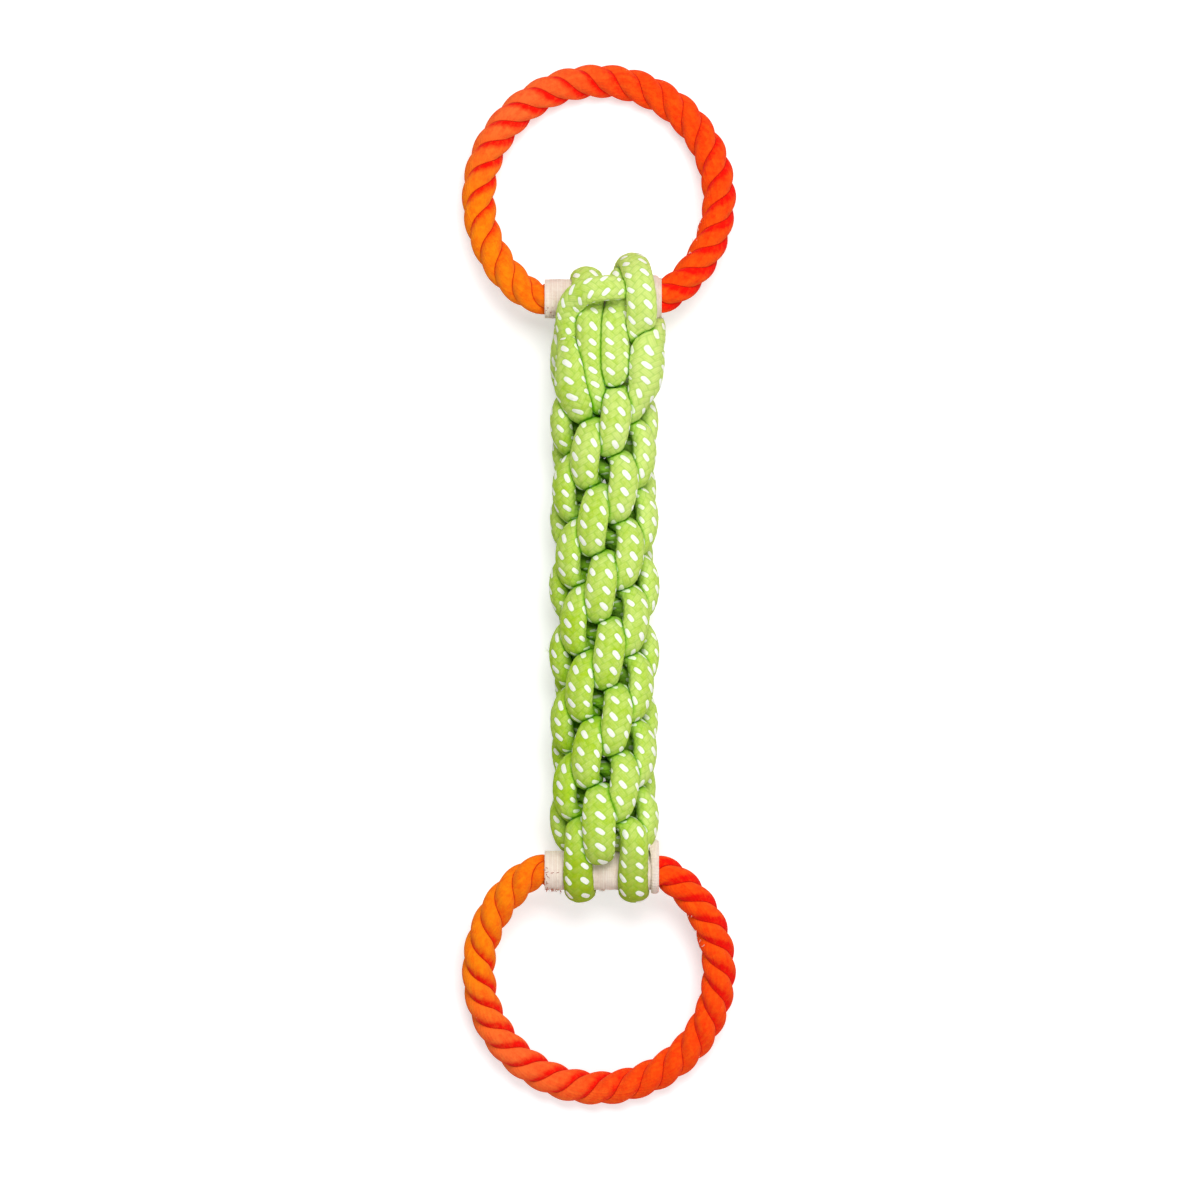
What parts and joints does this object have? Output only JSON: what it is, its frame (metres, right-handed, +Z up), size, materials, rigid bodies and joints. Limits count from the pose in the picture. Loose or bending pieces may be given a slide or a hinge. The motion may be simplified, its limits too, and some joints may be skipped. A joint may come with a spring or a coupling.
{
  "type": "rope dog toy",
  "caption": "Rope dog tug toy: rope ring handles with canvas sleeves, joined by soft cords plaited as a round crown plait.",
  "frame": {"origin": "on the floor, under the middle of the toy's box as it lies flat", "axes": "+Z up from the floor, +Y along the toy towards the ring where the cord ends are lashed, +X across it"},
  "size_m": [0.1029, 0.396, 0.0411],
  "materials": {
    "orange_rope": "laid polypropylene rope, soft fuzz",
    "canvas": "woven cotton tape, stitched",
    "green_cord": "braided soft cord with white flecks"
  },
  "bodies": {
    "plait": {"right_cord": "green_cord", "left_cord": "green_cord"},
    "ring_top": {"top_ring_strand_1": "orange_rope", "top_ring_strand_2": "orange_rope", "top_ring_strand_3": "orange_rope", "top_sleeve": "canvas", "top_sleeve_hem": "canvas"},
    "ring_bottom": {"bottom_ring_strand_1": "orange_rope", "bottom_ring_strand_2": "orange_rope", "bottom_ring_strand_3": "orange_rope", "bottom_sleeve": "canvas", "bottom_sleeve_hem": "canvas"}
  },
  "joints": [
    {"name": "ring_top_swing", "type": "hinge", "parent": "plait", "child": "ring_top", "pos_m": [0, 0.1087, 0.02008], "axis": [1, 0, 0], "range_deg": [-145, 165]},
    {"name": "ring_bottom_swing", "type": "hinge", "parent": "plait", "child": "ring_bottom", "pos_m": [0, -0.1087, 0.02008], "axis": [-1, 0, 0], "range_deg": [-145, 165]}
  ]
}
